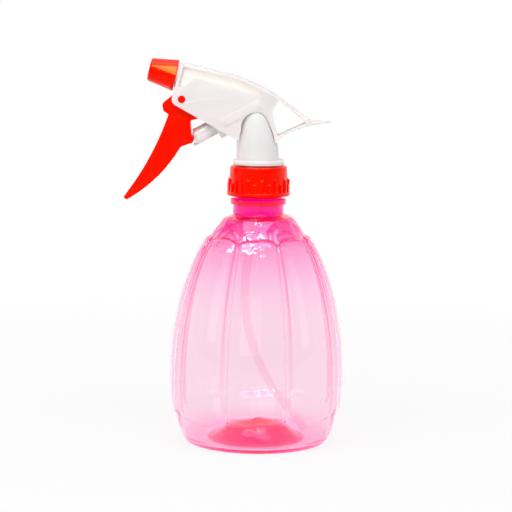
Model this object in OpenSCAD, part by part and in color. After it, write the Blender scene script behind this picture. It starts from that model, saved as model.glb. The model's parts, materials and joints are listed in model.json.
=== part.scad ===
// Hand trigger spray bottle: lobed blow-moulded bottle, screw collar and trigger pump head.
// Millimetres, +Z up. The origin is on the bottle's axis at the base, and the nozzle points to -X.

/* [Bottle] */
// Lobes around the bottle
lobe_count = 8; // [6:1:12]
// Largest radius of a lobe
lobe_r = 46.2; // [40:0.2:50]
// Height of the widest part of a lobe
lobe_mid_z = 36.5; // [30:0.5:45]
// Half height of the ellipse that the lobes follow
lobe_rise = 90.4; // [80:0.2:100]
// Largest radius at the groove between two lobes
groove_r = 42.4; // [36:0.2:46]
// Height of the widest part of the grooves
groove_mid_z = 30; // [25:0.5:40]
// Half height of the ellipse that the grooves and shoulder follow
groove_rise = 99; // [90:0.5:110]
// Height where the base begins to curve in
base_h = 16; // [12:0.5:20]
// Radius of the base curve
base_round = 29; // [24:0.5:36]
// Height of the small round at the foot
heel = 1.4; // [0.6:0.1:2]
// Wall thickness
bottle_wall = 1.1; // [0.8:0.1:1.6]
// Radius of the hollow under the base
punt_r = 24.6; // [20:0.2:28]
// Height of the hollow under the base
punt_h = 11.5; // [6:0.5:14]
// Height of the shoulder's top
shoulder_z = 120.2; // [115:0.1:124]
// Outer radius of the neck below the bead
neck_r = 13.35; // [12:0.05:14]
// Outer radius of the bead
bead_r = 14.65; // [14:0.05:15.5]
// Outer radius of the neck finish that the collar screws on
finish_r = 12.6; // [12:0.05:13.5]
// Inner radius of the neck
neck_bore_r = 10.9; // [10:0.1:11.5]
// Height of the mouth
mouth_z = 142.2; // [138:0.1:145]

/* [Collar] */
// Height of the collar's bottom edge
collar_z = 131.5; // [130:0.1:134]
// Height of the collar's top face
collar_top_z = 147.1; // [144:0.1:150]
// Inner radius of the skirt
skirt_r = 14.1; // [13.8:0.05:14.4]
// Grip ribs, alternately tall and short
rib_count = 26; // [20:2:36]
// Radius at the face of a rib
rib_r = 16.4; // [16:0.1:17]

/* [Cover] */
// Half width over the cheeks
cover_w = 8.5; // [7:0.1:10]
// Thickness of the cheeks
cheek_t = 1.2; // [0.8:0.1:2]
// Trigger pivot along X
pivot_x = -40.5; // [-44:0.1:-36]
// Trigger pivot along Z
pivot_z = 181.9; // [178:0.1:186]
// Radius of the pivot stubs
pivot_r = 1.9; // [1.5:0.05:2.5]

/* [Pump] */
// Slope of the pump barrel
pump_tilt = 27.9; // [20:0.1:35]
// Outer radius of the barrel
barrel_r = 7.1; // [6:0.05:8]
// Bore radius of the barrel
barrel_bore_r = 5.6; // [5:0.05:6]
// Distance from the rod's front to the barrel's mouth
barrel_mouth = 12.6; // [10:0.1:15]
// Radius of the piston rod
rod_r = 4.15; // [3.5:0.05:4.6]
// Coils of the return spring
spring_turns = 9; // [6:1:12]
// Wire radius of the return spring
wire_r = 0.35; // [0.25:0.05:0.5]

/* [Nozzle] */
// Slope of the discharge tube and nozzle
nozzle_tilt = 12.9; // [8:0.1:18]
// Length of the nozzle
nozzle_l = 14.4; // [12:0.1:18]
// Radius of the nozzle's rear edge
nozzle_rear_r = 8.25; // [7:0.05:9]
// Radius of the nozzle's front edge
nozzle_front_r = 6.15; // [5:0.05:7]
// Grip flats around the nozzle's rear
flat_count = 8; // [6:1:12]
// Outer radius of the discharge tube
tube_r = 4.9; // [4:0.05:5.2]

/* [Dip tube] */
// Outer radius of the dip tube
dip_r = 2.4; // [2:0.05:3]
// Inner radius of the dip tube
dip_bore_r = 1.7; // [1.2:0.05:2.2]

/* [Hidden] */
$fn = 72;
groove_pitch = 360 / lobe_count;
pump_origin = [-34.1, 0, 161.6];
nozzle_origin = [-43.8, 0, 193.9];
punt_sphere_r = (punt_r * punt_r + punt_h * punt_h) / (2 * punt_h);
inner_w = cover_w - cheek_t;
fit = 0.07;

// One column of the bottle's outline: share of the half pitch, share of the lobe's relief
lobe_section = [[-0.94, 0], [-0.85, 0.78], [-0.65, 0.9], [-0.35, 0.97], [0, 1],
                [0.35, 0.97], [0.65, 0.9], [0.85, 0.78], [0.94, 0], [1, 0]];
inner_section = [[-0.94, 0], [-0.8, 0.84], [-0.4, 0.96], [0, 1], [0.4, 0.96], [0.8, 0.84], [0.94, 0]];
bottle_rows = [0, 0.4, 1.4, 4, 8, 12, for (z = [14:1.5:20]) z, 24, for (z = [32:9:86]) z, 93, 99,
               for (z = [104:1.7:110.8]) z, 113, 116, 118.5, shoulder_z];
inner_rows = [1.2, 3, 7, 12, 14, 17, 20, for (z = [30:14:86]) z, 98, 104, 107.5, 110.8, 115, 119];

function unit(v) = v / norm(v);
function smooth(t) = let (s = min(1, max(0, t))) s * s * (3 - 2 * s);

// Outline with rounded corners, from a list of [x, y, radius]
function corner(a, b, c, r) =
    let (u = unit(a - b), v = unit(c - b), half = acos(u * v) / 2,
         m = b + unit(u + v) * r / sin(half),
         s = b + u * r / tan(half) - m, e = b + v * r / tan(half) - m,
         a0 = atan2(s.y, s.x), turn = atan2(s.x * e.y - s.y * e.x, s * e),
         n = max(2, ceil(abs(turn) / 9), ceil(abs(turn) * r / 160)))
    [for (i = [0:n]) m + r * [cos(a0 + turn * i / n), sin(a0 + turn * i / n)]];
function rounded(p) =
    let (n = len(p), xy = [for (c = p) [c.x, c.y]])
    [for (i = [0:n - 1])
        each p[i][2] > 0 ? corner(xy[(i + n - 1) % n], xy[i], xy[(i + 1) % n], p[i][2]) : [xy[i]]];

// Bottle radii: the surface that the grooves lie in, and the crest of a lobe
function ellipse_r(z, r, mid, rise) = r * sqrt(1 - pow((z - mid) / rise, 2));
function body_r(z) = ellipse_r(max(z, base_h), groove_r, groove_mid_z, groove_rise)
    - (z < base_h ? base_round - sqrt(pow(base_round, 2) - pow(base_h - z, 2)) : 0)
    - (z < heel ? heel - sqrt(pow(heel, 2) - pow(heel - z, 2)) : 0);
function lobe_part(z) = smooth((z - 14) / 5.5) * smooth((110.8 - z) / 5);
function relief(z) = z < 14 || z > 110.8 ? 0
    : lobe_part(z) * (ellipse_r(z, lobe_r, lobe_mid_z, lobe_rise) - body_r(z));
function bottle_ring(z, section, inset) =
    [for (k = [0:lobe_count - 1], c = section)
        let (a = (k + c.x / 2) * groove_pitch, r = body_r(z) + c.y * relief(z) - inset)
        [r * cos(a), r * sin(a), z]];

// Housing outlines, seen from the side as [x, z, corner radius]
cover_outline = [
    [-40.6, 200.8, 1.5], [-1, 191.5, 80], [27.3, 170.8, 5], [37.4, 171, 0.2], [37.3, 170.3, 0.2],
    [25.4, 168.7, 15], [15.5, 165.1, 18], [7.6, 159.2, 0.5], [-12.2, 161.2, 0.6], [-46.2, 180.1, 3.2]];
cover_cavity = [
    [-39.6, 199.3, 0.8], [-1.7, 189.9, 46], [8.9, 182.6, 0.5], [5.2, 176, 4], [7.8, 163, 0],
    [7.4, 150, 0], [-54, 150, 0], [-54, 187, 0], [-43, 187, 0]];
window_outline = [
    [-42.2, 188.3, 0.6], [-39.6, 188.7, 0.8], [-33.5, 193.2, 0.9], [0.4, 184.7, 0.9],
    [0.4, 186.8, 0.9], [-3.1, 189, 8], [-13, 192.8, 30], [-39.4, 198.8, 0.7]];
loop_outline = [[10.2, 181.9, 0.8], [24.8, 170.1, 0.6], [9.5, 162.9, 0.9], [6.5, 176, 4]];
function arch(g) = [
    [-11.9 - g, 148, 0], [-8.3 - g, 175.4 + g, 7.5], [2.4 + g, 175 + g, 5.5],
    [7.6 + g, 163.5 + g / 2, 30], [10.7 + g, 148, 0]];
stem_outline = [
    [-11.8, 149, 0], [-11.6, 163.5, 0.8], [-6, 163.5, 0], [-6, 158.9, 0], [10, 158.9, 0.8], [10.7, 149, 0]];
tail_plan = [[10, -cover_w - 1, 0], [25, -cover_w, 20], [37.6, -6.4, 4], [37.6, 6.4, 4], [25, cover_w, 20],
             [10, cover_w + 1, 0]];
boss_x = -36.2;
boss_z = 161;
trigger_outline = [
    [-43.2, 186.2, 3], [-45.6, 183.6, 2], [-50.9, 179.4, 2.2], [-50.1, 175.7, 1.6], [-47.4, 173.8, 0.8],
    [-48.4, 171.2, 3], [-55.4, 151.7, 150], [-71, 130, 0.9], [-69, 129, 0.8],
    [-51.6, 139.8, 75], [-40.9, 157, 2], [-36.6, 158.6, 0.6], [-34.5, 161.2, 0.5],
    [-35.5, 163.8, 0.8], [-35.9, 170.8, 0.3], [-31, 172.1, 0.5], [-33.4, 178, 2], [-36.6, 186, 3]];

// Side outline made into a plate that is centred on the X-Z plane
module plate(outline, half_width) {
    rotate([90, 0, 0])
        linear_extrude(height = 2 * half_width, center = true)
            polygon(rounded(outline));
}

// Ring or disc about Z between two heights
module ring(r_out, r_in, z0, z1) {
    rotate_extrude()
        translate([r_in, z0])
            square([r_out - r_in, z1 - z0]);
}

// Solid through a list of rings that have the same number of points
module loft(rings) {
    n = len(rings[0]);
    m = len(rings);
    sides = [for (i = [0:m - 2], j = [0:n - 1])
        let (a = i * n + j, b = i * n + (j + 1) % n)
        each [[a, a + n, b + n], [a, b + n, b]]];
    polyhedron([for (r = rings) each r],
               concat([[for (j = [0:n - 1]) j]], sides, [[for (j = [n - 1:-1:0]) (m - 1) * n + j]]));
}

// Frames of the pump barrel (+Z from the rod's front into the barrel) and of the nozzle (+Z outwards)
module on_pump() {
    translate(pump_origin) rotate([0, 90 - pump_tilt, 0]) children();
}
module on_nozzle() {
    translate(nozzle_origin) rotate([0, nozzle_tilt - 90, 0]) children();
}

module punt(r) {
    translate([0, 0, punt_h - punt_sphere_r]) sphere(r, $fn = 64);
}

module bottle() {
    color([1, 0.55, 0.75, 0.4])
    difference() {
        union() {
            loft([for (z = bottle_rows) bottle_ring(z, lobe_section, 0)]);
            rotate_extrude()
                polygon([[0, 117], [17.1, 117], [17.1, 120.3], [neck_r, 122.6], [neck_r, 126.8],
                         [bead_r - 0.4, 126.8], [bead_r, 127.2], [bead_r, 129.6], [bead_r - 0.4, 130],
                         [finish_r, 130], [finish_r, mouth_z - 0.5], [finish_r - 0.5, mouth_z],
                         [0, mouth_z]]);
        }
        difference() {
            loft([for (z = inner_rows) bottle_ring(z, inner_section, bottle_wall)]);
            punt(punt_sphere_r + 1.4);
        }
        rotate_extrude()
            polygon([[0, 116], [15.5, 116], [15.5, 119.2], [neck_bore_r, 122.2],
                     [neck_bore_r, mouth_z + 1], [0, mouth_z + 1]]);
        difference() {
            punt(punt_sphere_r);
            translate([0, 0, punt_h - 0.9]) cylinder(r = 2, h = 3);
        }
    }
}

// Grip rib with an arched top, seen from outside
function rib_outline(h) = [
    [-0.75, 0], [0.75, 0], [0.75, h - 0.7], [0.5, h - 0.2], [0, h], [-0.5, h - 0.2], [-0.75, h - 0.7]];

module closure_collar() {
    color([1, 0.08, 0.02])
    union() {
        rotate_extrude()
            polygon([[skirt_r, collar_z], [16.3, collar_z], [16.7, collar_z + 0.4], [16.7, collar_z + 1.6],
                     [16.3, collar_z + 2], [15.4, collar_z + 2], [15.4, 139], [15, collar_top_z - 0.7],
                     [14.4, collar_top_z], [9 + fit, collar_top_z], [9 + fit, collar_top_z - 1.6],
                     [skirt_r, collar_top_z - 1.6]]);
        for (i = [0:rib_count - 1])
            rotate(i * 360 / rib_count)
                translate([14.8, 0, collar_z + 1.8])
                    rotate([90, 0, 90])
                        linear_extrude(height = rib_r - 14.8)
                            polygon(rib_outline(i % 2 == 0 ? 6.8 : 4.6));
    }
}

module neck_gasket() {
    color([0.92, 0.92, 0.9]) ring(12.3, 4.6, mouth_z + 0.1, 143.55);
}

module shroud() {
    color([0.94, 0.93, 0.92])
    difference() {
        union() {
            plate(cover_outline, cover_w);
            intersection() {
                plate(cover_outline, cover_w + 1);
                on_pump() translate([0, 0, 17]) cylinder(r = cover_w + 0.5, h = 22);
            }
        }
        plate(cover_cavity, inner_w);
        plate(window_outline, cover_w + 2);
        plate(loop_outline, cover_w + 2);
        plate(arch(0.2), cover_w + 2);
        translate([pivot_x, 0, pivot_z]) rotate([90, 0, 0])
            cylinder(r = pivot_r + fit, h = 30, center = true);
        on_nozzle() translate([0, 0, -6]) cylinder(r = tube_r + 0.15, h = 8);
        on_nozzle() translate([0, 0, -1.57]) cylinder(r = 6.2, h = 4);
        translate([0, 0, 150])
            linear_extrude(height = 40)
                difference() {
                    translate([20, -12]) square([30, 24]);
                    polygon(rounded(tail_plan));
                }
    }
}

// Side of the bullet-shaped stem top, which leans in along a large arc
bullet_r = 11.2;
bullet_side_r = 74.7;
function bullet_side(z) = bullet_r - bullet_side_r + sqrt(pow(bullet_side_r, 2) - pow(z - 156, 2));

module pump_body() {
    color([0.93, 0.92, 0.91])
    difference() {
        union() {
            intersection() {
                translate([-0.5, 0, 0])
                    rotate_extrude()
                        polygon(concat([[0, 150], [bullet_r, 150]],
                                       [for (z = [156:3.2:178.4]) [bullet_side(z), z]],
                                       [[0, 178.4]]));
                plate(arch(0), 20);
            }
            intersection() {
                plate(stem_outline, inner_w - 0.4);
                translate([-0.5, 0, 149]) cylinder(r = bullet_r, h = 16);
            }
            rotate_extrude()
                polygon([[0, 145.4], [9, 145.4], [9, 147.7], [13.1, 147.7], [13.5, 148.1], [13.5, 149.9],
                         [13.1, 150.3], [0, 150.3]]);
            cylinder(r = 4.2, h = 184.6);
            on_pump() translate([0, 0, barrel_mouth]) cylinder(r = barrel_r, h = 31.5 - barrel_mouth);
            on_pump() translate([3, 0, 30]) cylinder(r = 2.6, h = 6);
            on_nozzle() translate([0, 0, -46]) cylinder(r = 3.2, h = 7);
        }
        translate([0, 0, -1]) cylinder(r = 20, h = 146.4);
        translate([0, 0, 140]) cylinder(r = 5.95, h = 17.6);
        cylinder(r = 3.2, h = 180);
        cylinder(r = 1.75, h = 183.6);
        on_nozzle() translate([0, 0, -45.5]) cylinder(r = 1.6, h = 10);
        on_nozzle() translate([0, 0, -42]) cylinder(r = 2.5, h = 10);
        on_pump() translate([0, 0, 5]) cylinder(r = barrel_bore_r, h = 25);
        on_pump() translate([3, 0, 28]) cylinder(r = 1.3, h = 9);
    }
}

// Section of the discharge tube's wide top, which fills the cover's windows
tube_top = [[2, -6.6, 0], [5, -6.6, 2], [5, 6.6, 2], [2, 6.6, 0]];

module discharge_tube() {
    color([0.9, 0.87, 0.83])
    on_nozzle()
    difference() {
        union() {
            translate([0, 0, -38.6]) cylinder(r = tube_r, h = 38);
            translate([0, 0, -38.6]) linear_extrude(height = 33.6) polygon(rounded(tube_top));
            translate([3.35, -6.2, -42.5]) cube([1.1, 12.4, 4.5]);
            translate([0, 0, -42]) cylinder(r = 2.45, h = 5);
            translate([0, 0, -4.9]) cylinder(r = 6, h = 1.2);
            translate([0, 0, -1.5]) cylinder(r = 6.1, h = 1.2);
            translate([0, 0, -1]) cylinder(r = 4.6, h = 10.5);
        }
        for (side = [-1, 1])
            translate([-5, side * 6.3 - 2.5, -50]) cube([7, 5, 45.2]);
        translate([-8.9, -6, -50]) cube([6, 12, 24]);
        translate([0, 0, -50]) cylinder(r = 1.9, h = 56);
        translate([0, 0, 4]) cylinder(r = 2.4, h = 8);
    }
}

module swirl_insert() {
    color([0.85, 0.85, 0.85])
    on_nozzle()
    difference() {
        translate([0, 0, 4.1]) cylinder(r = 2.35, h = 5.3);
        translate([0, 0, 3]) cylinder(r = 1.2, h = 4.4);
        for (turn = [0, 120, 240])
            rotate(turn) translate([0.7, -0.35, 6.4]) cube([4, 0.7, 4]);
        translate([0, 0, 8.8]) cylinder(r = 1, h = 2);
    }
}

module spray_nozzle() {
    taper = atan2(nozzle_rear_r - nozzle_front_r, nozzle_l);
    color([1, 0.08, 0.02])
    on_nozzle()
    difference() {
        rotate_extrude()
            polygon([[4.6 + fit, 0], [nozzle_rear_r - 0.3, 0], [nozzle_rear_r, 0.3],
                     [nozzle_front_r, nozzle_l - 1], [nozzle_front_r - 0.3, nozzle_l - 0.3],
                     [nozzle_front_r - 1, nozzle_l], [2.6, nozzle_l], [1, nozzle_l - 1.2],
                     [0.5, nozzle_l - 1.2], [0.5, nozzle_l - 3.4], [4.6 + fit, nozzle_l - 3.4]]);
        for (i = [0:flat_count - 1])
            rotate((i + 0.45) * 360 / flat_count)
                translate([nozzle_rear_r - 0.32, -6, 0])
                    rotate([0, 1 - taper, 0]) translate([0, 0, -2]) cube([4, 12, nozzle_l + 4]);
    }
}

module nozzle_seal() {
    color([0.25, 0.25, 0.25])
    on_nozzle() ring(4.5, 1.5, 9.8, 10.8);
}

module trigger() {
    color([1, 0.08, 0.02])
    difference() {
        union() {
            rotate([90, 0, 0]) linear_extrude(height = 11.8, center = true) {
                intersection() {
                    polygon(rounded(trigger_outline));
                    translate([-60, 171]) square([40, 20]);
                }
                translate([pivot_x, pivot_z]) circle(4.2);
            }
            rotate([90, 0, 0]) linear_extrude(height = 13.4, center = true) {
                intersection() {
                    polygon(rounded(trigger_outline));
                    translate([-80, 120]) square([60, 52.9]);
                }
                translate([boss_x, boss_z]) circle(2.2);
            }
            translate([pivot_x, 0, pivot_z]) rotate([90, 0, 0])
                cylinder(r = pivot_r, h = 2 * cover_w - 0.2, center = true);
        }
        rotate([90, 0, 0]) linear_extrude(height = 10.2, center = true)
            intersection() {
                translate([2.6, 0.4]) polygon(rounded(trigger_outline));
                translate([-80, 132.5]) square([60, 24]);
            }
    }
}

module piston() {
    color([0.92, 0.92, 0.94, 0.8])
    on_pump()
    difference() {
        union() {
            translate([0, 0, -1.85]) cylinder(r = rod_r, h = 18);
            translate([0, 0, -1.85]) cylinder(r = rod_r + 0.15, h = 4.5);
            translate([0, 0, 13.6]) cylinder(r = 5.3, h = 7);
        }
        translate([-10, -10, -10]) cube([12.9, 20, 10.25]);
        rotate([0, pump_tilt, 0]) translate([-15, -10, -20.75]) cube([15, 20, 20]);
        translate([0, 0, 9]) cylinder(r = 3.4, h = 20);
        ring(8, 4.3, 14.2, 15.4);
        ring(8, 4.3, 17.9, 19.7);
    }
}

module piston_seal() {
    color([0.3, 0.3, 0.3])
    on_pump() ring(barrel_bore_r - 0.05, 4.35, 17.95, 19.65);
}

module vent_seal() {
    color([0.3, 0.3, 0.3])
    on_pump() ring(barrel_bore_r - 0.05, 4.35, 14.25, 15.35);
}

// Helix of round wire between the piston's blind bore and the barrel's end
module return_spring() {
    steps = 9 * spring_turns;
    mean_r = 2.75;
    first = 9.5;
    last = 29.4;
    color([0.75, 0.76, 0.78])
    on_pump()
    loft([for (i = [0:steps])
        let (a = 360 * spring_turns * i / steps, z = first + (last - first) * i / steps)
        [for (k = [0:5])
            [(mean_r + wire_r * cos(60 * k)) * cos(a), (mean_r + wire_r * cos(60 * k)) * sin(a),
             z - wire_r * sin(60 * k)]]]);
}

module inlet_connector() {
    color([0.93, 0.93, 0.92])
    difference() {
        union() {
            translate([0, 0, 143.6]) cylinder(r = 12.2, h = 1.6);
            translate([0, 0, 144]) cylinder(r = 5.9, h = 13.4);
            translate([0, 0, 131]) cylinder(r = 4.2, h = 13);
        }
        translate([0, 0, 130]) cylinder(r = dip_r + 0.05, h = 11);
        cylinder(r = 1.3, h = 170);
        translate([0, 0, 152]) cylinder(r1 = 1.3, r2 = 3, h = 1.7);
        translate([0, 0, 153.7]) cylinder(r = 3, h = 6);
    }
}

module inlet_ball() {
    color([0.8, 0.82, 0.85]) translate([0, 0, 153.6]) sphere(2, $fn = 40);
}

module outlet_seat() {
    color([0.9, 0.9, 0.9]) ring(3.15, 0.9, 178.4, 179.95);
}

module outlet_ball() {
    color([0.8, 0.82, 0.85]) translate([0, 0, 180.95]) sphere(1.3, $fn = 32);
}

// Dip tube's middle line from its foot upwards, as [x, z, tilt]: a straight end, a long bend,
// a short bend and an upright top
dip_long_r = 93;
dip_short_r = 60;
dip_long_mid = [86.7, 80];
dip_lean = 37;
dip_end_l = 23.8;
function dip_line(extra) = [
    let (foot = dip_long_mid - dip_long_r * [cos(dip_lean), sin(dip_lean)]
                + (dip_end_l + extra) * [sin(dip_lean), -cos(dip_lean)])
    [foot.x, foot.y, dip_lean],
    for (i = [0:12]) let (a = dip_lean - i * (dip_lean + 9) / 12)
        [dip_long_mid.x - dip_long_r * cos(a), dip_long_mid.y - dip_long_r * sin(a), a],
    for (a = [-6:3:0]) [dip_short_r * (cos(a) - 1), 134 + dip_short_r * sin(a), a],
    [0, 140.9 + extra, 0]];
function dip_ring(p, r) = [for (k = [0:15:345])
    [p.x + r * cos(k) * cos(p.z), r * sin(k), p.y + r * cos(k) * sin(p.z)]];

module dip_tube() {
    color([0.95, 0.8, 0.85, 0.8])
    difference() {
        loft([for (p = dip_line(0)) dip_ring(p, dip_r)]);
        loft([for (p = dip_line(1)) dip_ring(p, dip_bore_r)]);
    }
}

bottle();
closure_collar();
neck_gasket();
shroud();
pump_body();
discharge_tube();
swirl_insert();
spray_nozzle();
nozzle_seal();
trigger();
piston();
piston_seal();
vent_seal();
return_spring();
inlet_connector();
inlet_ball();
outlet_seat();
outlet_ball();
dip_tube();
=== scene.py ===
# %% [markdown]
# # A trigger spray bottle
# The CAD model is the frame: every piece here sits in the same place, in metres, with +Z up and the
# nozzle towards -X. Pieces that a mould or a die shapes more softly than the CAD are modelled again,
# and every piece gets the finish of its real material.

# %% Load the frame
import bpy
import json
import math
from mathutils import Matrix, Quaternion, Vector

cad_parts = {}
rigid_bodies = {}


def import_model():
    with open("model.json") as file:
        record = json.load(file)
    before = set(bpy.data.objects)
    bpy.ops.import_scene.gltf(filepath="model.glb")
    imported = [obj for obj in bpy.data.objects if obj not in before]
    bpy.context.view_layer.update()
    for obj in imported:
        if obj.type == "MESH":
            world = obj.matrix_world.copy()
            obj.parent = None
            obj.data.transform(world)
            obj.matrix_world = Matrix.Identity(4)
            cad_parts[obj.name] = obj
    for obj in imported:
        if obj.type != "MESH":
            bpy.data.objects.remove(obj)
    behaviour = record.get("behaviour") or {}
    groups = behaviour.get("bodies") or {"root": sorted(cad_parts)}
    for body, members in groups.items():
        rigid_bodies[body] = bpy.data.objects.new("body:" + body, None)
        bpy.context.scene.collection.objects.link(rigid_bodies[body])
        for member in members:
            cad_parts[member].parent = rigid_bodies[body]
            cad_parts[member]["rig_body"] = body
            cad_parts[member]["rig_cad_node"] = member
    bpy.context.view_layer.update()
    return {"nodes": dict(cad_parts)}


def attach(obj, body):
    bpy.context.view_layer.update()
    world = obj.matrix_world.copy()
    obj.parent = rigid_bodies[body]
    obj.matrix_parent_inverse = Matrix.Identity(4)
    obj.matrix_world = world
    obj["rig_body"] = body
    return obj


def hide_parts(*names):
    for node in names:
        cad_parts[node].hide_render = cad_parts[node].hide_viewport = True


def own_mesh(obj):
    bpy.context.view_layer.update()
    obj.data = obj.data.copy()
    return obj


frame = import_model()
MM = 0.001

# %% [markdown]
# ## Camera
# The photograph is a long-lens product shot from slightly above, with the nozzle to the left. A long
# lens at a little over a metre keeps the bottle's outline almost without perspective, and the
# picture leans a fraction of a degree, so the camera rolls by the same amount.

# %% Camera
EYE = Vector((-0.0009, -1.150, 0.248))
AIM = Vector((-0.0009, 0, 0.0990))
ROLL = math.radians(0.62)
bpy.ops.object.select_all(action="DESELECT")
bpy.ops.object.camera_add(location=EYE)
camera = bpy.context.object
camera.rotation_mode = "QUATERNION"
camera.rotation_quaternion = (AIM - EYE).to_track_quat("-Z", "Y") @ Quaternion((0, 0, 1), ROLL)
camera.data.lens = 154
camera.data.sensor_width = 36
bpy.context.scene.camera = camera
bpy.context.scene.view_settings.view_transform = "Standard"
print("camera", round((AIM - EYE).length, 3), "m from the bottle")

# %% [markdown]
# ## Node helper and colours
# Materials are node trees. One function adds a node, sets its values and links its inputs, one turns
# an sRGB hex colour, as a colour picker shows it, to the linear numbers that shaders use, and one
# starts an empty material.


# %% Node helper and colours
def add_node(tree, kind, settings=None, links=None):
    node = tree.nodes.new(kind)
    for name, value in (settings or {}).items():
        if isinstance(name, int) or name in node.inputs:
            node.inputs[name].default_value = value
        else:
            setattr(node, name, value)
    for name, socket in (links or {}).items():
        tree.links.new(socket, node.inputs[name])
    return node


def linear(hex_colour):
    channels = [int(hex_colour[i:i + 2], 16) / 255 for i in (1, 3, 5)]
    return [c / 12.92 if c <= 0.04045 else ((c + 0.055) / 1.055) ** 2.4 for c in channels] + [1]


def new_material(name):
    material = bpy.data.materials.new(name)
    material.use_nodes = True
    material.node_tree.nodes.clear()
    return material, material.node_tree


# %% [markdown]
# ## Studio
# The real picture was taken on a white sweep. The world and the paper floor show white to the camera,
# to reflections and to what is seen through the bottle, while the light that falls on the object
# stays at a plain level. Near the bottle the floor keeps part of its own shading, so the shadow remains.
# In reflections the room on the camera's side is dimmer, which keeps the red plastic deep, while light
# that comes through the bottle still sees white. Light turns many times inside a clear wall, so its
# paths may be long: cut short, they end as grey edges.

# %% Floor and world
AMBIENT, CAMERA_SIDE = 0.57, 0.30
NEAR_GLOW, FAR_GLOW = 0.82, 1.0
NEAR, FAR = 0.12, 0.55
FLOOR_DIM, ROOM_DIM = (-0.9, -0.1), (-0.6, 0.3)
bpy.ops.mesh.primitive_plane_add(size=12, location=(0, 0, -0.0004))
floor = bpy.context.object
floor.name = "floor"


def seen_directly(tree):
    path = add_node(tree, "ShaderNodeLightPath")
    gloss = add_node(tree, "ShaderNodeMath", {"operation": "MAXIMUM"},
                     {0: path.outputs["Is Camera Ray"], 1: path.outputs["Is Glossy Ray"]})
    return add_node(tree, "ShaderNodeMath", {"operation": "MAXIMUM"},
                    {0: gloss.outputs[0], 1: path.outputs["Is Transmission Ray"]}).outputs[0]


def reflected_only(tree):
    path = add_node(tree, "ShaderNodeLightPath")
    return add_node(tree, "ShaderNodeMath", {"operation": "SUBTRACT", "use_clamp": True},
                    {0: path.outputs["Is Glossy Ray"], 1: path.outputs["Is Transmission Ray"]}).outputs[0]


paper, tree = new_material("matt_paper_sweep")
matt = add_node(tree, "ShaderNodeBsdfDiffuse", {"Color": linear("#F6F6F6")})
on_floor = add_node(tree, "ShaderNodeTexCoord").outputs["Object"]
ahead = add_node(tree, "ShaderNodeMapRange",
                 {"From Min": FLOOR_DIM[0], "From Max": FLOOR_DIM[1], "To Min": CAMERA_SIDE, "To Max": 1},
                 {"Value": add_node(tree, "ShaderNodeSeparateXYZ", None, {0: on_floor}).outputs["Y"]})
shine = add_node(tree, "ShaderNodeMix", {2: 1}, {0: reflected_only(tree), 3: ahead.outputs[0]})
glow = add_node(tree, "ShaderNodeEmission", {"Color": (1, 1, 1, 1)}, {"Strength": shine.outputs[0]})
distance = add_node(tree, "ShaderNodeVectorMath", {"operation": "LENGTH"}, {0: on_floor})
fade = add_node(tree, "ShaderNodeMapRange",
                {"From Min": NEAR, "From Max": FAR, "To Min": NEAR_GLOW, "To Max": FAR_GLOW},
                {"Value": distance.outputs["Value"]})
share = add_node(tree, "ShaderNodeMath", {"operation": "MULTIPLY"},
                 {0: seen_directly(tree), 1: fade.outputs[0]})
sweep = add_node(tree, "ShaderNodeMixShader", None,
                 {0: share.outputs[0], 1: matt.outputs[0], 2: glow.outputs[0]})
add_node(tree, "ShaderNodeOutputMaterial", None, {"Surface": sweep.outputs[0]})
floor.data.materials.append(paper)

world = bpy.data.worlds.new("white_studio")
bpy.context.scene.world = world
world.use_nodes = True
tree = world.node_tree
tree.nodes.clear()
level = add_node(tree, "ShaderNodeMapRange", {"To Min": AMBIENT, "To Max": 1},
                 {"Value": seen_directly(tree)})
towards = add_node(tree, "ShaderNodeSeparateXYZ", None,
                   {0: add_node(tree, "ShaderNodeTexCoord").outputs["Object"]})
room = add_node(tree, "ShaderNodeMapRange",
                {"From Min": ROOM_DIM[0], "From Max": ROOM_DIM[1], "To Min": CAMERA_SIDE, "To Max": 1},
                {"Value": towards.outputs["Y"]})
strength = add_node(tree, "ShaderNodeMix", None,
                    {0: reflected_only(tree), 2: level.outputs[0], 3: room.outputs[0]})
sky = add_node(tree, "ShaderNodeBackground", {"Color": (1, 1, 1, 1)}, {"Strength": strength.outputs[0]})
add_node(tree, "ShaderNodeOutputWorld", None, {"Surface": sky.outputs[0]})
light_paths = bpy.context.scene.cycles
light_paths.max_bounces = light_paths.transmission_bounces = 64
light_paths.glossy_bounces = light_paths.transparent_max_bounces = 48
print("floor and world ready, ambient level", AMBIENT)

# %% [markdown]
# ## Softboxes and cards
# Four softboxes light the object and are not mirrored in it. The card overhead and the three strips
# light nothing and show only in gloss: they draw the shoulder and the lobes, and pick out the nozzle's
# flats. Each row has the place, the width and height in metres, the watts, and the two switches.

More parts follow.
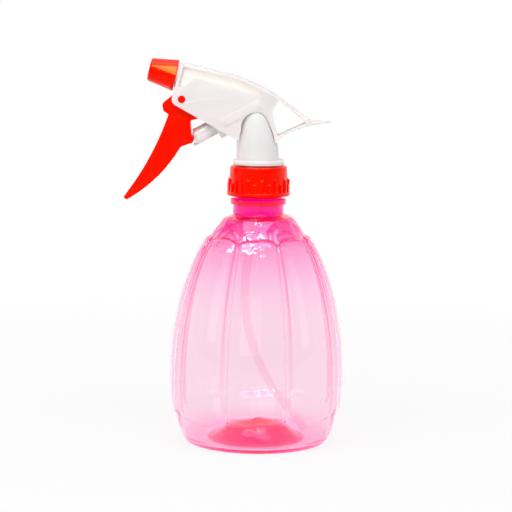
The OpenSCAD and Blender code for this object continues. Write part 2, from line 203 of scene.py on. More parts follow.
# %% Softboxes and cards
LAMP_AIM = Vector((0, 0, 0.11))
SOFTBOXES = [
    ("key_left", (-0.85, -0.55, 0.50), 0.34, 0.80, 1.6, True, False),
    ("fill_right", (0.85, -0.45, 0.40), 0.26, 0.70, 0.9, True, False),
    ("left_strip", (-0.85, -0.55, 0.50), 0.11, 0.80, 0.34, False, True),
    ("right_strip", (0.85, -0.45, 0.40), 0.08, 0.70, 0.18, False, True),
    ("overhead", (-0.05, -0.40, 0.95), 0.75, 0.28, 3.4, True, False),
    ("front", (-0.30, -1.50, 0.42), 1.00, 0.70, 3.2, True, False),
    ("ceiling_card", (-0.05, -0.30, 1.10), 1.10, 1.05, 14.5, False, True),
    ("nozzle_strip", (-0.12, -0.25, 0.42), 0.30, 0.05, 1.6, False, True),
]
for name, place, width, height, watts, lights, mirrored in SOFTBOXES:
    bpy.ops.object.light_add(type="AREA", location=place)
    lamp = bpy.context.object
    lamp.name = name
    lamp.rotation_euler = (LAMP_AIM - Vector(place)).to_track_quat("-Z", "Y").to_euler()
    lamp.data.shape = "RECTANGLE"
    lamp.data.size, lamp.data.size_y = width, height
    lamp.data.energy = watts
    lamp.visible_camera = False
    lamp.visible_diffuse, lamp.visible_glossy = lights, mirrored
print("softboxes and cards:", len(SOFTBOXES))

# %% [markdown]
# ## Bottle: the turned shape
# The bottle is blow-moulded from clear pink PET. Before the lobes are pressed into it, it is a turned
# shape, so the wall's section is drawn as a chain of points and spun round the axis. The section has
# an outer and an inner side, because a transparent wall shows its real thickness: blowing leaves the
# belly thin and the neck and base thick, which is why they look a deeper pink. The base is pushed up to
# a low hill inside a ring, with the small dimple of the mould's gate in the middle.


# %% Wall section
def smooth(t):
    t = min(1, max(0, t))
    return t * t * (3 - 2 * t)


BASE_H, BASE_ROUND, HEEL = 16, 29, 1.4
GROOVE_R, GROOVE_Z, GROOVE_H = 42.4, 30, 99
BELLY_WALL = 0.5
BASE_EXTRA, BASE_THIN_Z, BASE_FADE = 1.0, 22, 20
SHOULDER_EXTRA, SHOULDER_THIN_Z, SHOULDER_FADE = 0.9, 98, 22
PUNT_R, PUNT_H = 24.6, 10.4
HILL_R, RING_Z, HILL_POWER, SLOPE_POWER = 14.7, 7.4, 1.25, 1.6
NECK_R, BEAD_R, FINISH_R, BORE_R, MOUTH_Z = 13.35, 14.65, 12.6, 10.9, 142.2


def groove_radius(z):
    r = GROOVE_R * math.sqrt(1 - ((max(z, BASE_H) - GROOVE_Z) / GROOVE_H) ** 2)
    if z < BASE_H:
        r -= BASE_ROUND - math.sqrt(BASE_ROUND ** 2 - (BASE_H - z) ** 2)
    if z < HEEL:
        r -= HEEL - math.sqrt(HEEL ** 2 - (HEEL - z) ** 2)
    return r


def wall(z):
    base = BASE_EXTRA * smooth((BASE_THIN_Z - z) / BASE_FADE)
    shoulder = SHOULDER_EXTRA * smooth((z - SHOULDER_THIN_Z) / SHOULDER_FADE)
    return BELLY_WALL + base + shoulder


def punt_height(r):
    if r < HILL_R:
        return PUNT_H - (PUNT_H - RING_Z) * (1 - (1 - r / HILL_R) ** HILL_POWER)
    return RING_Z * ((PUNT_R - r) / (PUNT_R - HILL_R)) ** SLOPE_POWER


def steps(first, last, count):
    return [first + (last - first) * i / count for i in range(count + 1)]


gate = [(0, PUNT_H - 0.9), (1.4, PUNT_H - 0.9), (1.9, PUNT_H - 0.6), (2.2, punt_height(2.2) - 0.1)]
outer = gate + [(r, punt_height(r)) for r in steps(3, 14.4, 6) + steps(15, 24, 7)]
outer += [(24.6, 0.55), (25.8, 0.12), (27.5, 0), (31, 0), (34.4, 0)]
outer += [(groove_radius(z), z) for z in
          [0.1, 0.4, 0.9, 1.6] + steps(2.6, 12.6, 8) + steps(13.2, 22, 13) + steps(23.6, 101, 36)
          + steps(102.6, 106.4, 4) + steps(107.2, 111.4, 16) + steps(113.2, 119.6, 6)]
outer += [(17.2, 120.1), (16.0, 120.6), (14.6, 121.0), (13.8, 121.25), (13.45, 121.6), (NECK_R, 122),
          (NECK_R, 126.5), (NECK_R + 0.15, 126.8), (BEAD_R - 0.3, 126.85), (BEAD_R, 127.2), (BEAD_R, 129.6),
          (BEAD_R - 0.3, 129.95), (FINISH_R + 0.2, 130), (FINISH_R, 130.3), (FINISH_R, MOUTH_Z - 0.5),
          (FINISH_R - 0.15, MOUTH_Z - 0.15), (FINISH_R - 0.5, MOUTH_Z)]
inner = [(BORE_R + 0.3, MOUTH_Z), (BORE_R, MOUTH_Z - 0.3), (BORE_R, 123.6), (11.2, 122.6), (12.4, 121.2),
         (14.2, 119.9)]
inner += [(groove_radius(z) - wall(z), z) for z in
          steps(118.6, 112.4, 6) + steps(111.4, 107.2, 12) + steps(106.4, 102.6, 3) + steps(101, 23.6, 30)
          + steps(22, 13.2, 10) + steps(12.4, 3.4, 7)]
inner += [(33.6, 2.0), (31.8, 1.45), (29, 1.35), (26.6, 1.4), (25.4, 1.6)]
inner += [(r, punt_height(r) + 1.8) for r in steps(24.6, 15.8, 7)]
inner += [(15.2, RING_Z + 1.2), (14.8, RING_Z + 0.9), (14.4, RING_Z + 1.3)]
inner += [(r, punt_height(r) + 1.7) for r in steps(13.9, 0, 7)]
print("section points:", len(outer) + len(inner))


# %% Spin the section
def deselect():
    if bpy.context.object and bpy.context.object.mode != "OBJECT":
        bpy.ops.object.mode_set(mode="OBJECT")
    bpy.ops.object.select_all(action="DESELECT")


def draw_chain(name, points):
    deselect()
    bpy.ops.mesh.primitive_plane_add(size=MM, location=(0, 0, 0))
    piece = bpy.context.object
    piece.name = name
    bpy.ops.object.mode_set(mode="EDIT")
    bpy.ops.mesh.select_all(action="SELECT")
    bpy.ops.mesh.merge(type="CENTER")
    bpy.ops.transform.translate(value=points[0])
    for a, b in zip(points, points[1:]):
        bpy.ops.mesh.extrude_vertices_move(TRANSFORM_OT_translate={"value": Vector(b) - Vector(a)})
    return piece


COLUMNS_PER_LOBE, LOBES = 42, 8
bottle = draw_chain("bottle_shell", [Vector((r, 0, z)) * MM for r, z in outer + inner])
bpy.ops.mesh.select_all(action="SELECT")
bpy.ops.mesh.spin(steps=COLUMNS_PER_LOBE * LOBES, angle=2 * math.pi, center=(0, 0, 0), axis=(0, 0, 1))
bpy.ops.mesh.select_all(action="SELECT")
bpy.ops.mesh.remove_doubles(threshold=2e-6)
bpy.ops.mesh.normals_make_consistent(inside=False)
bpy.ops.object.mode_set(mode="OBJECT")
print("turned bottle:", len(bottle.data.polygons), "faces")

# %% [markdown]
# ## Bottle: lobes and the mould's two halves
# Eight lobes are pressed out of the turned shape. No operator knows their outline, so each vertex is
# moved outwards by a small formula: flat at the groove, steep at its edge, crowned over the lobe, with
# a crisp ledge at the top and a soft one at the bottom. The columns are first gathered towards the
# grooves, where the shape is sharpest. The two mould halves meet in the X = 0 plane a little out of
# step, so one half of the bottle sits a fraction of a millimetre higher.

# %% Press the lobes
PITCH = 2 * math.pi / LOBES
LOBE_FOOT, LOBE_TOP, END_CURVE = 13.4, 110.6, 2.6
FOOT_LEDGE, TOP_LEDGE = 6, 1.3
CREST_R, CREST_Z, CREST_H = 46.14, 36.5, 90.4
FLANK_FOOT, FLANK_WIDTH, CROWN = 0.965, 0.15, 0.24
PRESSED_LOW, PRESSED_HIGH, PRESSED_R = 13, 112, 20
GATHER = 0.78


def lobe_relief(angle, z):
    side = abs((angle / PITCH + 0.5) % 1 - 0.5) * 2
    curve = END_CURVE * side ** 4
    ends = smooth((z - LOBE_FOOT - curve) / FOOT_LEDGE) * smooth((LOBE_TOP - curve - z) / TOP_LEDGE)
    crest = CREST_R * math.sqrt(max(0, 1 - ((z - CREST_Z) / CREST_H) ** 2))
    rise = max(0, crest - groove_radius(min(z, PRESSED_HIGH)))
    return rise * ends * smooth((FLANK_FOOT - side) / FLANK_WIDTH) * (1 - CROWN * side * side)


def gathered(angle):
    share = angle / PITCH
    return (share + GATHER / (2 * math.pi) * math.sin(2 * math.pi * share)) * PITCH


MOULD_STEP, ON_PARTING = 0.4, 0.004
STEP_FOOT, STEP_IN, STEP_TOP, STEP_OUT = 2, 6, 126, 3
for vertex in bottle.data.vertices:
    x, y, z = vertex.co / MM
    r = math.hypot(x, y)
    if r < 0.01:
        continue
    angle = gathered(math.atan2(y, x))
    if PRESSED_LOW < z < PRESSED_HIGH and r > PRESSED_R:
        r += lobe_relief(angle, z)
    half = 1 if math.cos(angle) > ON_PARTING else -1
    z += half * MOULD_STEP * smooth((z - STEP_FOOT) / STEP_IN) * smooth((STEP_TOP - z) / STEP_OUT)
    vertex.co = Vector((r * math.cos(angle), r * math.sin(angle), z)) * MM
deselect()
bottle.select_set(True)
bpy.context.view_layer.objects.active = bottle
bpy.ops.object.shade_smooth_by_angle(angle=math.radians(50))
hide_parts("bottle")
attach(bottle, "bottle")
print("bottle width in mm:", round(bottle.dimensions.x / MM, 1), round(bottle.dimensions.y / MM, 1))

# %% [markdown]
# ## Screw threads
# The collar turns on a single thread of about 4 mm pitch. A thread is a small section carried round
# a helix, which the Screw modifier does. The ends sink into the wall, as a mould's thread runs out.
# The two threads are a little shallower than real ones, so that the collar turns free in any pose.


# %% Threads
def thread(name, root, tip, z, turns, body):
    pitch, half_root, half_tip = 4.2, 1.05, 0.4
    section = [(root, z - half_root), (tip, z - half_tip), (tip, z + half_tip), (root, z + half_root)]
    piece = draw_chain(name, [Vector((r, 0, h)) * MM for r, h in section])
    bpy.ops.mesh.select_all(action="SELECT")
    bpy.ops.mesh.edge_face_add()
    bpy.ops.object.mode_set(mode="OBJECT")
    screw = piece.modifiers.new("helix", "SCREW")
    screw.angle = turns * 2 * math.pi
    screw.screw_offset = turns * pitch * MM
    screw.steps = screw.render_steps = int(turns * 72)
    screw.use_normal_calculate = True
    bpy.ops.object.modifier_apply(modifier="helix")
    for vertex in piece.data.vertices:
        x, y, h = vertex.co / MM
        turned = math.atan2(y, x) / (2 * math.pi)
        along = turned + round((h - z) / pitch - turned)
        run_out = min(1, max(0, min(along, turns - along) * 6))
        r = root + (math.hypot(x, y) - root) * smooth(run_out)
        vertex.co.x, vertex.co.y = Vector((x, y)).normalized() * r * MM
    bpy.ops.object.mode_set(mode="EDIT")
    bpy.ops.mesh.select_all(action="SELECT")
    bpy.ops.mesh.normals_make_consistent(inside=False)
    bpy.ops.object.mode_set(mode="OBJECT")
    bpy.ops.object.shade_smooth_by_angle(angle=math.radians(40))
    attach(piece, body)
    return piece


neck_thread = thread("neck_thread", FINISH_R - 0.15, 13.3, 133.0, 1.6, "bottle")
collar_thread = thread("collar_thread", 14.25, 13.42, 134.9, 1.4, "closure")
print("threads:", neck_thread.name, collar_thread.name)

# %% [markdown]
# ## Moulded edges
# No injection-moulded edge is sharp. The CAD solids have the right shape with knife edges, so the
# pieces in view are copied, the copy's loose triangles are merged and its flat faces joined, and a
# Bevel modifier rounds the edges by a few tenths of a millimetre, where they catch the light. An edge
# counts from about thirty degrees, or from ten on the nozzle, whose flats meet at a shallow angle.


# %% Rounded copies
def softened(node, radius, crease):
    deselect()
    cad = frame["nodes"][node]
    cad.select_set(True)
    bpy.context.view_layer.objects.active = cad
    bpy.ops.object.duplicate()
    piece = bpy.context.object
    piece.name = node + "_moulded"
    del piece["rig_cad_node"]
    bpy.ops.object.mode_set(mode="EDIT")
    bpy.ops.mesh.select_all(action="SELECT")
    bpy.ops.mesh.remove_doubles(threshold=2e-6)
    bpy.ops.mesh.dissolve_limited(angle_limit=math.radians(1))
    bpy.ops.object.mode_set(mode="OBJECT")
    bevel = piece.modifiers.new("moulded_edge", "BEVEL")
    bevel.width = radius * MM
    bevel.segments = 3
    bevel.limit_method = "ANGLE"
    bevel.angle_limit = math.radians(crease)
    bevel.miter_outer = "MITER_ARC"
    bpy.ops.object.modifier_apply(modifier="moulded_edge")
    bpy.ops.object.shade_smooth_by_angle(angle=math.radians(crease + 6))
    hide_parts(node)
    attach(piece, cad["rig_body"])
    return piece


EDGE_RADII = {"shroud": 0.4, "pump_body": 0.3, "trigger": 0.45, "closure_collar": 0.22, "spray_nozzle": 0.2,
              "discharge_tube": 0.2, "piston": 0.2}
CREASE, SHALLOW_CREASES = 32, {"spray_nozzle": 10}
moulded = {node: softened(node, radius, SHALLOW_CREASES.get(node, CREASE))
           for node, radius in EDGE_RADII.items()}
for node, piece in moulded.items():
    print(node, len(piece.data.polygons), "faces")

# %% [markdown]
# ## The tube's flat sides
# The discharge tube is wide where it runs under the cover's top, and its flat sides fill the two
# windows. Each side is the window's outline, a little larger so that its edge stays hidden, drawn as a
# face and pulled out to its thickness, with the edge of the tube's flange standing up beside the nozzle.

# %% Flat sides in the windows
WINDOW = [(-42.3, 187.9), (-39.5, 188.2), (-33.4, 192.7), (0.9, 184.1), (0.9, 187), (-2.9, 189.2),
          (-13, 193.1), (-39.2, 199)]
SIDE_IN, SIDE_OUT, FLANGE_OUT = 6.6, 7, 7.27
FLANGE_X, FLANGE_Z, FLANGE_W, FLANGE_H = -39.9, 193.4, 1.1, 9.6
NOZZLE_TILT = math.radians(12.9)
flat_sides = []
for name, way in (("tube_side_front", -1), ("tube_side_back", 1)):
    side = draw_chain(name, [Vector((x, way * SIDE_IN, z)) * MM for x, z in WINDOW])
    bpy.ops.mesh.select_all(action="SELECT")
    bpy.ops.mesh.edge_face_add()
    thickness = Vector((0, way * (SIDE_OUT - SIDE_IN), 0)) * MM
    bpy.ops.mesh.extrude_region_move(TRANSFORM_OT_translate={"value": thickness})
    bpy.ops.object.mode_set(mode="OBJECT")
    middle = Vector((FLANGE_X, way * (SIDE_IN + FLANGE_OUT) / 2, FLANGE_Z)) * MM
    bpy.ops.mesh.primitive_cube_add(size=MM, location=middle, rotation=(0, NOZZLE_TILT, 0),
                                    scale=(FLANGE_W, FLANGE_OUT - SIDE_IN, FLANGE_H))
    side.select_set(True)
    bpy.context.view_layer.objects.active = side
    bpy.ops.object.join()
    bpy.ops.object.transform_apply(location=True, rotation=True, scale=True)
    bpy.ops.object.mode_set(mode="EDIT")
    bpy.ops.mesh.select_all(action="SELECT")
    bpy.ops.mesh.normals_make_consistent(inside=False)
    bpy.ops.object.mode_set(mode="OBJECT")
    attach(side, "head")
    flat_sides.append(side)
print("flat sides:", [piece.name for piece in flat_sides])

# %% [markdown]
# ## Rib tips on the collar
# Each grip rib on the collar ends in a small slope that catches the light from above. One tip is a
# three-cornered face pulled out to the rib's width, and Spin repeats it round the collar, once for
# the tall ribs and once for the short ones between them.

# %% Rib tips
RIBS, RIB_WIDTH, RIB_R, COLLAR_R = 26, 1.3, 16.38, 15.2
TIP_SINK, TIP_RISE = 0.6, 0.75


def rib_tips(name, turn, top):
    out = Vector((math.cos(turn), math.sin(turn), 0))
    along = Vector((-math.sin(turn), math.cos(turn), 0))
    section = [(COLLAR_R, top - TIP_SINK), (RIB_R, top - TIP_SINK), (COLLAR_R, top + TIP_RISE)]
    corners = [out * r - along * RIB_WIDTH / 2 + Vector((0, 0, z)) for r, z in section]
    tips = draw_chain(name, [corner * MM for corner in corners])
    bpy.ops.mesh.select_all(action="SELECT")
    bpy.ops.mesh.edge_face_add()
    bpy.ops.mesh.extrude_region_move(TRANSFORM_OT_translate={"value": along * RIB_WIDTH * MM})
    bpy.ops.mesh.select_all(action="SELECT")
    bpy.ops.mesh.normals_make_consistent(inside=False)
    half = RIBS // 2
    bpy.ops.mesh.spin(steps=half - 1, angle=2 * math.pi * (half - 1) / half, dupli=True, center=(0, 0, 0),
                      axis=(0, 0, 1))
    bpy.ops.object.mode_set(mode="OBJECT")
    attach(tips, "closure")
    return tips


tall_tips = rib_tips("tall_rib_tips", 0, 140.1)
short_tips = rib_tips("short_rib_tips", 2 * math.pi / RIBS, 137.9)
print("rib tips:", len(tall_tips.data.polygons) // 5, len(short_tips.data.polygons) // 5)

# %% [markdown]
# ## Dip tube
# A soft polyethylene tube carries the liquid up from the bottle's corner. It is straight in its
# socket, takes the bend of the coil that it was cut from, and ends straight. A ring of vertices is
# extruded along the straights and spun along the two bends, and Solidify gives the tube its wall.

# %% Dip tube
DIP_R, DIP_BORE, DIP_TOP = 2.4, 1.7, 140.9
SOCKET_L, UPPER_L, END_L = 6.9, 30.4, 23.8
SHORT_BEND, LONG_BEND, END_LEAN = math.radians(9), math.radians(46), math.radians(37)
SHORT_CENTRE, LONG_CENTRE = Vector((-60, 0, 134)), Vector((86.7, 0, 80))
deselect()
bpy.ops.mesh.primitive_circle_add(vertices=28, radius=DIP_R * MM, location=(0, 0, DIP_TOP * MM))
dip_tube = bpy.context.object
dip_tube.name = "dip_tube_drawn"
bpy.ops.object.transform_apply(location=True, rotation=True, scale=True)
bpy.ops.object.mode_set(mode="EDIT")
bpy.ops.mesh.select_all(action="SELECT")
bpy.ops.mesh.extrude_edges_move(TRANSFORM_OT_translate={"value": (0, 0, -SOCKET_L * MM)})
bpy.ops.mesh.spin(steps=5, angle=-SHORT_BEND, center=SHORT_CENTRE * MM, axis=(0, 1, 0))
straight = Vector((-math.sin(SHORT_BEND), 0, -math.cos(SHORT_BEND))) * UPPER_L * MM
bpy.ops.mesh.extrude_edges_move(TRANSFORM_OT_translate={"value": straight})
bpy.ops.mesh.spin(steps=20, angle=LONG_BEND, center=LONG_CENTRE * MM, axis=(0, 1, 0))
end = Vector((math.sin(END_LEAN), 0, -math.cos(END_LEAN))) * END_L * MM
bpy.ops.mesh.extrude_edges_move(TRANSFORM_OT_translate={"value": end})
bpy.ops.mesh.select_all(action="SELECT")
bpy.ops.mesh.normals_make_consistent(inside=False)
bpy.ops.object.mode_set(mode="OBJECT")
tube_wall = dip_tube.modifiers.new("tube_wall", "SOLIDIFY")
tube_wall.thickness = (DIP_R - DIP_BORE) * MM
tube_wall.offset = -1
bpy.ops.object.modifier_apply(modifier="tube_wall")
bpy.ops.object.shade_smooth_by_angle(angle=math.radians(40))
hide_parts("dip_tube")
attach(dip_tube, "head")

# %% [markdown]
# ## Return spring
# A coil of steel wire pushes the piston back. A small ring of vertices on the coil's radius is
# carried up a helix by the Screw modifier, and the coil is then laid along the sloping barrel. The real
# coil closes up with the stroke; this one keeps its length in every pose.

# %% Return spring
PUMP_TILT = math.radians(27.9)
PUMP_AXIS = Vector((math.cos(PUMP_TILT), 0, math.sin(PUMP_TILT)))
PUMP_ORIGIN = Vector((-34.1, 0, 161.6)) * MM
SPRING_R, WIRE_R, TURNS, FIRST, LAST = 2.75, 0.35, 9, 9.5, 29.4
deselect()
bpy.ops.mesh.primitive_circle_add(vertices=10, radius=WIRE_R * MM, rotation=(math.pi / 2, 0, 0),
                                  location=(SPRING_R * MM, 0, 0))
spring = bpy.context.object
spring.name = "return_spring_wound"
bpy.ops.object.transform_apply(location=True, rotation=True, scale=True)
coil = spring.modifiers.new("coil", "SCREW")
coil.angle = TURNS * 2 * math.pi
coil.screw_offset = (LAST - FIRST) * MM
coil.steps = coil.render_steps = TURNS * 32
bpy.ops.object.modifier_apply(modifier="coil")
bpy.ops.object.mode_set(mode="EDIT")
bpy.ops.mesh.select_all(action="DESELECT")
bpy.ops.mesh.select_non_manifold()
bpy.ops.mesh.edge_face_add()
bpy.ops.mesh.select_all(action="SELECT")
bpy.ops.mesh.normals_make_consistent(inside=False)
bpy.ops.object.mode_set(mode="OBJECT")
spring.rotation_euler = (0, math.pi / 2 - PUMP_TILT, 0)
spring.location = PUMP_ORIGIN + PUMP_AXIS * FIRST * MM
bpy.ops.object.transform_apply(location=True, rotation=True, scale=True)
bpy.ops.object.shade_smooth_by_angle(angle=math.radians(50))
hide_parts("return_spring")
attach(spring, "head")
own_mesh(spring)
print("spring box in mm:", [round(c / MM, 1) for c in spring.dimensions])

# %% [markdown]
# ## Finish: clear pink PET
# Blown PET is as smooth as glass. Its dye shows by wall thickness: the stretched belly is pale, while
# the neck, the shoulder and the hollow base, which hardly stretch, are hot pink. The tint follows the
# height, as the wall does, with a deeper, redder ring at the neck's root and another in its bead: deeper
# for the thicker wall there, redder as a painted reflection of the red collar above.

# %% Clear pink PET: tint by height
pet, tree = new_material("blown_pet_clear_pink")
place = add_node(tree, "ShaderNodeTexCoord").outputs["Object"]
parts = add_node(tree, "ShaderNodeSeparateXYZ", None, {0: place})
up = parts.outputs["Z"]
HEIGHT = 145 * MM
# The red stops at 119.8-120.8 mm and 127.1-128.1 mm are painted reflection of the red collar, laid on the
# thicker wall.
TINTS = [(0, "#FFC8E4"), (4, "#FFD6EC"), (11, "#FFEDF6"), (22, "#FFEEF6"), (70, "#FFEDF6"),
         (87, "#FFE1F2"), (97, "#FFD2EB"), (105, "#FFC8E6"), (110, "#FFA4D8"), (114, "#FF84CC"),
         (119, "#FF62BC"), (119.8, "#FF1464"), (120.8, "#FF1464"), (121.6, "#FF40C0"), (123, "#FF1CC4"),
         (126.6, "#FF10B4"), (127.1, "#FF0048"), (128.1, "#FF0048"), (128.7, "#FF08AC"), (132, "#FF049A")]
climb = add_node(tree, "ShaderNodeMapRange", {"From Min": 0, "From Max": HEIGHT}, {"Value": up})
tint = add_node(tree, "ShaderNodeValToRGB", None, {0: climb.outputs[0]})
stops = tint.color_ramp.elements
while len(stops) < len(TINTS):
    stops.new(1)
for stop, (z, colour) in zip(stops, TINTS):
    stop.position = z * MM / HEIGHT
    stop.color = linear(colour)
print("tints by height:", len(stops))

# %% [markdown]
# ### Place on the wall
# The other tints need to know where they are on the wall: how far from the axis, how far from the
# middle of the lobe (0) towards the groove (1), and how far below the ledge on top of the lobe. They
# use the angle and the curve that pressed the lobes, so the tint stays on the shape.

# %% Clear pink PET: place on the wall
LEDGE_LINE = LOBE_TOP - 0.2
flat = add_node(tree, "ShaderNodeCombineXYZ", None, {0: parts.outputs["X"], 1: parts.outputs["Y"]})
radius = add_node(tree, "ShaderNodeVectorMath", {"operation": "LENGTH"}, {0: flat.outputs[0]}).outputs["Value"]
angle = add_node(tree, "ShaderNodeMath", {"operation": "ARCTAN2"},
                 {0: parts.outputs["Y"], 1: parts.outputs["X"]})
lobe = add_node(tree, "ShaderNodeMath", {"operation": "MULTIPLY_ADD", 1: 1 / PITCH, 2: 0.5},
                {0: angle.outputs[0]})
across = add_node(tree, "ShaderNodeMath", {"operation": "FRACT"}, {0: lobe.outputs[0]})
centred = add_node(tree, "ShaderNodeMath", {"operation": "MULTIPLY_ADD", 1: 2, 2: -1}, {0: across.outputs[0]})
side = add_node(tree, "ShaderNodeMath", {"operation": "ABSOLUTE"}, {0: centred.outputs[0]}).outputs[0]
curve = add_node(tree, "ShaderNodeMath", {"operation": "POWER", 1: 4}, {0: side})
ledge_z = add_node(tree, "ShaderNodeMath",
                   {"operation": "MULTIPLY_ADD", 1: -END_CURVE * MM, 2: LEDGE_LINE * MM}, {0: curve.outputs[0]})
below = add_node(tree, "ShaderNodeMath", {"operation": "SUBTRACT"}, {0: ledge_z.outputs[0], 1: up}).outputs[0]
print("ledge line at", LEDGE_LINE, "mm, falling by", END_CURVE, "mm towards the grooves")

# %% [markdown]
# ### Tint by shape
# The hollow under the base is deep pink. Lines of deeper pink are painted at the edges of each groove
# and along the ledge on top of each lobe, more strongly towards the shoulder: painted shade for the
# deeper tint seen where the eye looks along a steep wall.
# Each area is the product of two smooth steps. A step's row has the value that it reads, where it starts
# and ends, and its level before and after. The last area is for the shoulder's folds, further down.

# %% Clear pink PET: tint by shape
AREAS = {
    "hollow": [(radius, 24.5 * MM, 27 * MM, 1, 0), (up, 14.5 * MM, 16 * MM, 1, 0)],
    "groove_edge": [(side, 0.84, 0.9, 0, 1), (side, 0.9, 0.97, 1, 0)],
    "edge_strength": [(up, 15 * MM, 106 * MM, 0.04, 0.4), (up, 107 * MM, 111 * MM, 1, 0)],
    "ledge": [(below, -0.6 * MM, 0.1 * MM, 0, 1), (below, 0.6 * MM, 1.6 * MM, 1, 0)],
    "shoulder": [(up, 98 * MM, 106 * MM, 0, 1), (up, 119 * MM, 122 * MM, 1, 0)],
}
area = {}
for name, rows in AREAS.items():
    edges = [add_node(tree, "ShaderNodeMapRange",
                      {"interpolation_type": "SMOOTHSTEP", "From Min": first, "From Max": last,
                       "To Min": before, "To Max": after}, {"Value": value}).outputs[0]
             for value, first, last, before, after in rows]
    both = add_node(tree, "ShaderNodeMath", {"operation": "MULTIPLY"}, {0: edges[0], 1: edges[1]})
    area[name] = both.outputs[0]
# Painted shade: the groove-edge and ledge lines take a deeper pink, for the tint seen along a steep wall.
HOLLOW_PINK, EDGE_SHADE_PINK = "#FF1C7C", "#FF8CC4"
wall_tint = add_node(tree, "ShaderNodeMix", {"data_type": "RGBA", 7: linear(HOLLOW_PINK)},
                     {0: area["hollow"], 6: tint.outputs[0]})
lines = add_node(tree, "ShaderNodeMath", {"operation": "MULTIPLY"},
                 {0: area["groove_edge"], 1: area["edge_strength"]})
edge_shade_mask = add_node(tree, "ShaderNodeMath", {"operation": "MAXIMUM"}, {0: lines.outputs[0], 1: area["ledge"]})
edge_shade_tint = add_node(tree, "ShaderNodeMix",
                        {"data_type": "RGBA", "blend_type": "MULTIPLY", 7: linear(EDGE_SHADE_PINK)},
                        {0: edge_shade_mask.outputs[0], 6: wall_tint.outputs[2]})
print("areas on the wall:", list(area))

# %% [markdown]
# ### Surface and dye
# A fine ridge runs down the mould's parting plane, the wall waves slightly, and the shoulder keeps soft
# folds that break up its reflections. The index of refraction is set below that of real PET, so that
# the lobes behind stay readable through the wall, and a coat with PET's own index gives the gloss. The
# dye in the wall deepens the pink where the eye looks along it.

# %% Clear pink PET: surface and dye
PARTING_WIDTH, PARTING_HEIGHT = 0.5 * MM, 0.7
WAVE_SIZE, SWIRL_SIZE, FOLD_HEIGHT = 14 * MM, 8 * MM, 7.5
off_plane = add_node(tree, "ShaderNodeMath", {"operation": "ABSOLUTE"}, {0: parts.outputs["X"]})
ridge = add_node(tree, "ShaderNodeMapRange",
                 {"From Min": 0, "From Max": PARTING_WIDTH, "To Min": 1, "To Max": 0},
                 {"Value": off_plane.outputs[0]})
wave = add_node(tree, "ShaderNodeTexNoise", {"Scale": 1 / WAVE_SIZE, "Detail": 1}, {"Vector": place})
swirl = add_node(tree, "ShaderNodeTexNoise", {"Scale": 1 / SWIRL_SIZE, "Detail": 0, "Distortion": 1.2},
                 {"Vector": place})
folds = add_node(tree, "ShaderNodeMath", {"operation": "MULTIPLY"},
                 {0: swirl.outputs["Fac"], 1: area["shoulder"]})
waved = add_node(tree, "ShaderNodeMath", {"operation": "MULTIPLY_ADD", 1: FOLD_HEIGHT},
                 {0: folds.outputs[0], 2: wave.outputs["Fac"]})
relief = add_node(tree, "ShaderNodeMath", {"operation": "MULTIPLY_ADD", 1: PARTING_HEIGHT},
                  {0: ridge.outputs[0], 2: waved.outputs[0]})
bump = add_node(tree, "ShaderNodeBump", {"Strength": 0.35, "Distance": 0.5 * MM}, {"Height": relief.outputs[0]})
clear = add_node(tree, "ShaderNodeBsdfPrincipled",
                 {"Transmission Weight": 1, "IOR": 1.2, "Roughness": 0.02,
                  "Coat Weight": 0.55, "Coat IOR": 1.57, "Coat Roughness": 0.02},
                 {"Base Color": edge_shade_tint.outputs[2], "Normal": bump.outputs[0],
                  "Coat Normal": bump.outputs[0]})
dye = add_node(tree, "ShaderNodeVolumeAbsorption", {"Color": (1, 0.3, 0.62, 1), "Density": 38})
add_node(tree, "ShaderNodeOutputMaterial", None, {"Surface": clear.outputs[0], "Volume": dye.outputs[0]})
clear_pieces = (bottle, neck_thread)
for piece in clear_pieces:
    piece.data.materials.clear()
    piece.data.materials.append(pet)
print(pet.name, "on", bottle.name)

# %% [markdown]
# ## Finish: moulded polypropylene
# The head is polypropylene in red, white and natural. A mould's face leaves a soft gloss with a very
# fine grain, and the pigment clouds slightly where the melt flowed. One function builds that tree,
# with cloud and grain sizes in millimetres, and each colour calls it with its own values. The grain
# is drawn coarser than the real one so that it shows.


# %% Moulded polypropylene
def moulded_plastic(name, colour, flow_colour, roughness, cloud_mm, grain_mm, grain_depth_mm, shader):
    material, tree = new_material(name)
    place = add_node(tree, "ShaderNodeTexCoord").outputs["Object"]
    cloud = add_node(tree, "ShaderNodeTexNoise", {"Scale": 1 / (cloud_mm * MM), "Detail": 3},
                     {"Vector": place})
    tint = add_node(tree, "ShaderNodeMix", {"data_type": "RGBA", 6: linear(colour), 7: linear(flow_colour)},
                    {0: cloud.outputs["Fac"]})
    sheen = add_node(tree, "ShaderNodeMapRange", {"To Min": roughness - 0.06, "To Max": roughness + 0.06},
                     {"Value": cloud.outputs["Fac"]})
    grain = add_node(tree, "ShaderNodeTexNoise", {"Scale": 1 / (grain_mm * MM), "Detail": 2},
                     {"Vector": place})
    bump = add_node(tree, "ShaderNodeBump", {"Strength": 0.4, "Distance": grain_depth_mm * MM},
                    {"Height": grain.outputs["Fac"]})
    surface = add_node(tree, "ShaderNodeBsdfPrincipled", {"IOR": 1.49, **shader},
                       {"Base Color": tint.outputs[2], "Roughness": sheen.outputs[0],
                        "Normal": bump.outputs[0]})
    add_node(tree, "ShaderNodeOutputMaterial", None, {"Surface": surface.outputs[0]})
    return material


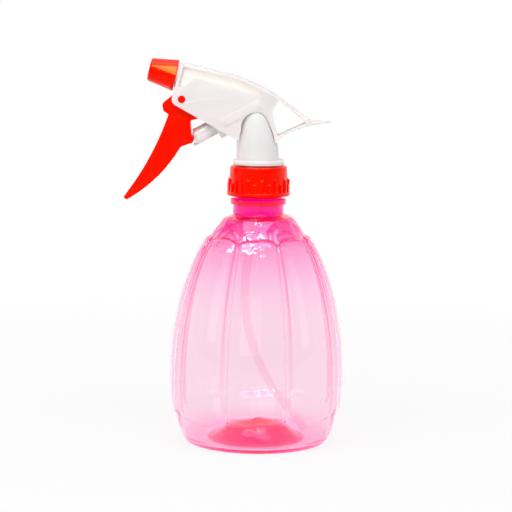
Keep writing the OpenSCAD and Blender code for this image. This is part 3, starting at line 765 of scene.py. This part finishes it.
WAXY = {"Subsurface Weight": 0.8, "Subsurface Radius": (1, 0.9, 0.85), "Subsurface Scale": 2.5 * MM}
MILKY = {"Subsurface Weight": 1, "Subsurface Radius": (1, 0.9, 0.92), "Subsurface Scale": 4 * MM}
CLEAR = {"Transmission Weight": 1, "IOR": 1.04}
WARM_GLOSS = {"Specular Tint": (1, 0.3, 0.06, 1), "Specular IOR Level": 0.6}
red_pp = moulded_plastic("moulded_pp_red", "#FF0200", "#F80100", 0.16, 9, 0.5, 0.012, WARM_GLOSS)
# The shroud's white carries a painted pink cast, standing in for bounce light from the red parts.
white_pp_red_bounce = moulded_plastic("moulded_pp_white_red_bounce", "#F2E9E8", "#EAE1E0", 0.34, 11, 0.6, 0.02, WAXY)
# The stem takes a darker, greyer copy of the same white plastic: painted shade.
stem_pp_painted_shade = moulded_plastic("moulded_pp_stem_painted_shade", "#E9E7E7", "#E1DFDF", 0.34, 11, 0.6, 0.02, WAXY)
natural_pp = moulded_plastic("moulded_pp_natural", "#FFFAF2", "#FDF4E9", 0.35, 8, 0.5, 0.02, {})
piston_pp = moulded_plastic("moulded_pp_milky", "#FFFCFE", "#FAF5F9", 0.25, 6, 0.5, 0.015, MILKY)
tube_pe = moulded_plastic("drawn_pe_tube", "#FFF7FA", "#FFF3F7", 0.22, 7, 0.4, 0.01, CLEAR)
rubber = moulded_plastic("moulded_nitrile_rubber", "#2B2A2A", "#232222", 0.62, 3, 0.25, 0.03, {})
print("plastics:", [m.name for m in (red_pp, white_pp_red_bounce, stem_pp_painted_shade, natural_pp, piston_pp, tube_pe, rubber)])

# %% [markdown]
# ## Finish: spring steel and valve balls
# Drawn stainless wire is bright and slightly grey, with fine marks that the die leaves. The two valve
# balls are steel as well and take the same finish. The marks are drawn coarser than real ones.

# %% Steel
steel, tree = new_material("drawn_stainless_steel")
place = add_node(tree, "ShaderNodeTexCoord").outputs["Object"]
SCRATCH_SIZE = 0.4 * MM
scratch = add_node(tree, "ShaderNodeTexNoise", {"Scale": 1 / SCRATCH_SIZE, "Detail": 3}, {"Vector": place})
bright = add_node(tree, "ShaderNodeMix", {"data_type": "RGBA", 6: linear("#C9CACC"), 7: linear("#AFB1B4")},
                  {0: scratch.outputs["Fac"]})
drawn = add_node(tree, "ShaderNodeMapRange", {"To Min": 0.16, "To Max": 0.34},
                 {"Value": scratch.outputs["Fac"]})
bump = add_node(tree, "ShaderNodeBump", {"Strength": 0.3, "Distance": 0.01 * MM},
                {"Height": scratch.outputs["Fac"]})
metal = add_node(tree, "ShaderNodeBsdfPrincipled", {"Metallic": 1},
                 {"Base Color": bright.outputs[2], "Roughness": drawn.outputs[0], "Normal": bump.outputs[0]})
add_node(tree, "ShaderNodeOutputMaterial", None, {"Surface": metal.outputs[0]})
print("steel:", steel.name)

# %% [markdown]
# ## Every piece gets its finish
# Each CAD node, or the moulded copy that stands for it, takes its material; the slot name beside it in
# the table is not applied. The drawn and wound pieces and the added ones take their material here.

# %% Give every piece its finish
FINISHES = {
    "shroud": (white_pp_red_bounce, "white_plastic"), "pump_body": (stem_pp_painted_shade, "white_plastic"),
    "inlet_connector": (natural_pp, "natural_plastic"), "trigger": (red_pp, "red_plastic"),
    "closure_collar": (red_pp, "red_plastic"), "spray_nozzle": (red_pp, "red_plastic"),
    "discharge_tube": (natural_pp, "natural_plastic"), "swirl_insert": (natural_pp, "natural_plastic"),
    "outlet_seat": (natural_pp, "natural_plastic"), "piston": (piston_pp, "piston_plastic"),
    "neck_gasket": (natural_pp, "natural_plastic"), "nozzle_seal": (rubber, "seal_rubber"),
    "piston_seal": (rubber, "seal_rubber"), "vent_seal": (rubber, "seal_rubber"),
    "inlet_ball": (steel, "spring_steel"), "outlet_ball": (steel, "spring_steel"),
}
shown = {node: moulded.get(node, frame["nodes"][node]) for node in FINISHES}
for node, (material, slot) in FINISHES.items():
    shown[node].data.materials.clear()
    shown[node].data.materials.append(material)
others = [(collar_thread, red_pp), (tall_tips, red_pp), (short_tips, red_pp), (dip_tube, tube_pe),
          (spring, steel)] + [(plate, natural_pp) for plate in flat_sides]
for piece, material in others:
    piece.data.materials.clear()
    piece.data.materials.append(material)
print("pieces with a finish:", len(shown) + len(others) + len(clear_pieces))
